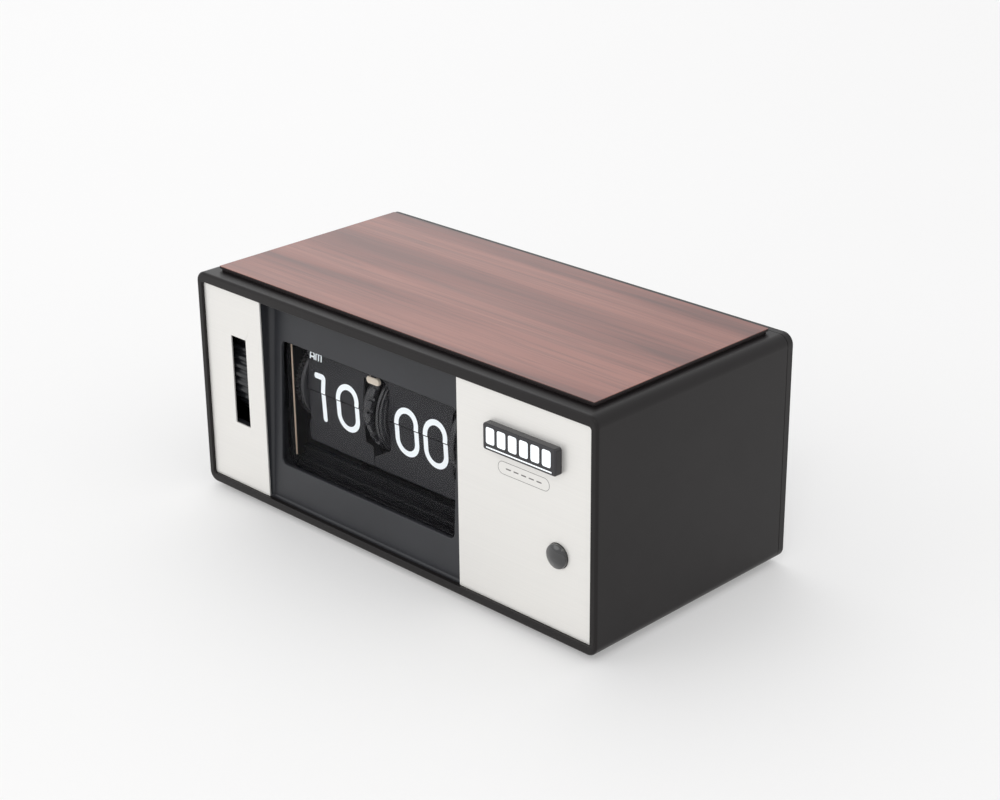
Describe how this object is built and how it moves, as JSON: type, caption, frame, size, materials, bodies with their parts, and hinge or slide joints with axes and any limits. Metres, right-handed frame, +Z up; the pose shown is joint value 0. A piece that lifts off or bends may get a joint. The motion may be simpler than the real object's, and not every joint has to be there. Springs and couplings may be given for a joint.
{
  "type": "flip clock",
  "caption": "Desk flip clock: black case with metal front plates, dark wood-grain top, split-leaf time display, time-setting thumb wheel and push button.",
  "frame": {"origin": "centre of the footprint, at the underside of the rubber feet", "axes": "+Z up, -Y out of the front, +X to the right as seen from the front"},
  "size_m": [0.18, 0.0904, 0.0801],
  "materials": {
    "case_plastic": "satin black, fine spark texture",
    "bezel_plastic": "satin black",
    "front_metal": "fine brushed, pale",
    "window_clear": "clear acrylic",
    "shroud_plastic": "matt black",
    "badge_black": "semi-gloss black",
    "plinth_black": "matt black",
    "wood_laminate": "dark red-brown laminate, satin lacquer",
    "steel_bright": "bright",
    "foot_rubber": "matt",
    "screw_steel": "zinc plated",
    "plate_steel": "zinc plated",
    "brass_parts": "machined",
    "wheel_plastic": "satin black",
    "drum_plastic": "semi-gloss dark grey",
    "gear_plastic": "black acetal",
    "leaf_plastic": "satin dark grey with white print",
    "stop_cream": "cream",
    "motor_can": "plated can",
    "board_green": "solder mask",
    "board_black": "moulded components",
    "lamp_glass": "small clear bulb",
    "button_gloss": "polished black",
    "cell_jacket": "plain printed jacket",
    "contact_metal": "nickel plated",
    "wire_jacket": "vinyl"
  },
  "bodies": {
    "clock_frame": {"case_shell": "case_plastic", "front_bezel": "bezel_plastic", "left_plate": "front_metal", "right_plate": "front_metal", "window_lens": "window_clear", "display_shroud": "shroud_plastic", "badge": "badge_black", "top_plinth": "plinth_black", "wood_top": "wood_laminate", "rear_cover": "case_plastic", "door_pin": "steel_bright", "feet": "foot_rubber", "cover_screws": "screw_steel", "left_side_plate": "plate_steel", "right_side_plate": "plate_steel", "spacer_bars": "plate_steel", "shaft_bushes": "brass_parts", "carry_axle": "steel_bright", "hour_leaf_lower": "leaf_plastic", "minute_leaf_lower": "leaf_plastic", "hour_leaf_next": "leaf_plastic", "minute_leaf_next": "leaf_plastic", "hour_leaf_pack": "leaf_plastic", "minute_leaf_pack": "leaf_plastic", "leaf_stop": "stop_cream", "motor": "motor_can", "motor_screws": "screw_steel", "circuit_board": "board_green", "board_parts": "board_black", "display_lamp": "lamp_glass", "button_spring": "steel_bright", "light_switch": "board_black", "battery": "cell_jacket", "battery_tray": "shroud_plastic", "contact_plate": "contact_metal", "contact_spring": "contact_metal", "wires": "wire_jacket"},
    "minute_works": {"main_shaft": "steel_bright", "thumb_wheel": "wheel_plastic", "minute_drum": "drum_plastic", "minute_gear": "gear_plastic", "drive_pinion": "brass_parts"},
    "hour_works": {"hour_drum": "drum_plastic", "hour_gear": "gear_plastic"},
    "carry_gears": {"carry_wheel": "gear_plastic"},
    "motor_rotor": {"motor_pinion": "brass_parts"},
    "hour_flip": {"hour_leaf_flip": "leaf_plastic"},
    "minute_flip": {"minute_leaf_flip": "leaf_plastic"},
    "button": {"light_button": "button_gloss"},
    "door": {"battery_door": "case_plastic"}
  },
  "joints": [
    {"name": "time_set_turn", "type": "hinge", "parent": "clock_frame", "child": "minute_works", "pos_m": [0, -0.02025, 0.0452], "axis": [1, 0, 0], "continuous": true},
    {"name": "hour_drum_turn", "type": "hinge", "parent": "clock_frame", "child": "hour_works", "pos_m": [-0.033, -0.02025, 0.0452], "axis": [1, 0, 0], "continuous": true},
    {"name": "carry_turn", "type": "hinge", "parent": "clock_frame", "child": "carry_gears", "pos_m": [-0.052, -0.00345, 0.0452], "axis": [1, 0, 0], "continuous": true},
    {"name": "motor_turn", "type": "hinge", "parent": "clock_frame", "child": "motor_rotor", "pos_m": [0.026, -0.00394, 0.05281], "axis": [1, 0, 0], "continuous": true},
    {"name": "hour_leaf_turn", "type": "hinge", "parent": "clock_frame", "child": "hour_flip", "pos_m": [-0.033, -0.03345, 0.0452], "axis": [1, 0, 0], "range_deg": [0, 171], "deforming": ["hour_leaf_flip"]},
    {"name": "minute_leaf_turn", "type": "hinge", "parent": "clock_frame", "child": "minute_flip", "pos_m": [0.006, -0.03345, 0.0452], "axis": [1, 0, 0], "range_deg": [0, 171], "deforming": ["minute_leaf_flip"]},
    {"name": "light_button_press", "type": "slide", "parent": "clock_frame", "child": "button", "axis": [0, 1, 0], "range_m": [0, 0.0015], "stiffness_N_per_m": 300, "springref_m": -0.001, "deforming": ["button_spring"]},
    {"name": "battery_door_tilt", "type": "hinge", "parent": "clock_frame", "child": "door", "pos_m": [0.0525, 0.04405, 0.0087], "axis": [-1, 0, 0], "range_deg": [0, 90]}
  ],
  "couplings": [
    {"joint": "hour_drum_turn", "follows": "time_set_turn", "ratio": 0.041667},
    {"joint": "carry_turn", "follows": "time_set_turn", "ratio": -0.25},
    {"joint": "motor_turn", "follows": "time_set_turn", "ratio": -5}
  ]
}
